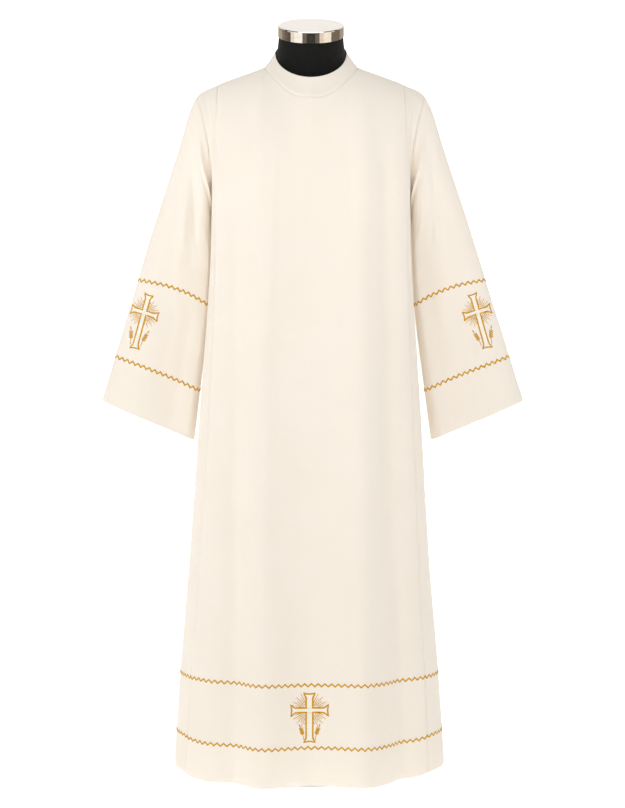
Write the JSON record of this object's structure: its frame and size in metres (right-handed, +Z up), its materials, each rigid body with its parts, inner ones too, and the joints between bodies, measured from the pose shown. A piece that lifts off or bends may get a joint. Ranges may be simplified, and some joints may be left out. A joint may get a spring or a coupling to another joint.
{
  "type": "alb on a limbless dress form",
  "caption": "Ankle-length cream alb with a stand-up collar and wide set-in sleeves, worn by a black limbless dress form on a round base.",
  "frame": {"origin": "on the floor, under the middle of the box around the whole part", "axes": "+Z up, -Y the front of the garment, +X the right of the picture"},
  "size_m": [0.847, 0.4088, 1.5072],
  "materials": {
    "cream_cloth": "plain woven cloth, matt",
    "gold_thread": "twisted embroidery thread",
    "black_jersey": "fine knit, matt",
    "chrome": "polished",
    "painted_steel": "satin"
  },
  "bodies": {
    "root": {"front": "cream_cloth", "back": "cream_cloth", "side_front_left": "cream_cloth", "side_front_right": "cream_cloth", "side_back_left": "cream_cloth", "side_back_right": "cream_cloth", "sleeve_left": "cream_cloth", "sleeve_right": "cream_cloth", "collar": "cream_cloth", "torso": "black_jersey", "neck_cap": "chrome", "pole": "painted_steel", "base": "painted_steel"}
  },
  "joints": []
}
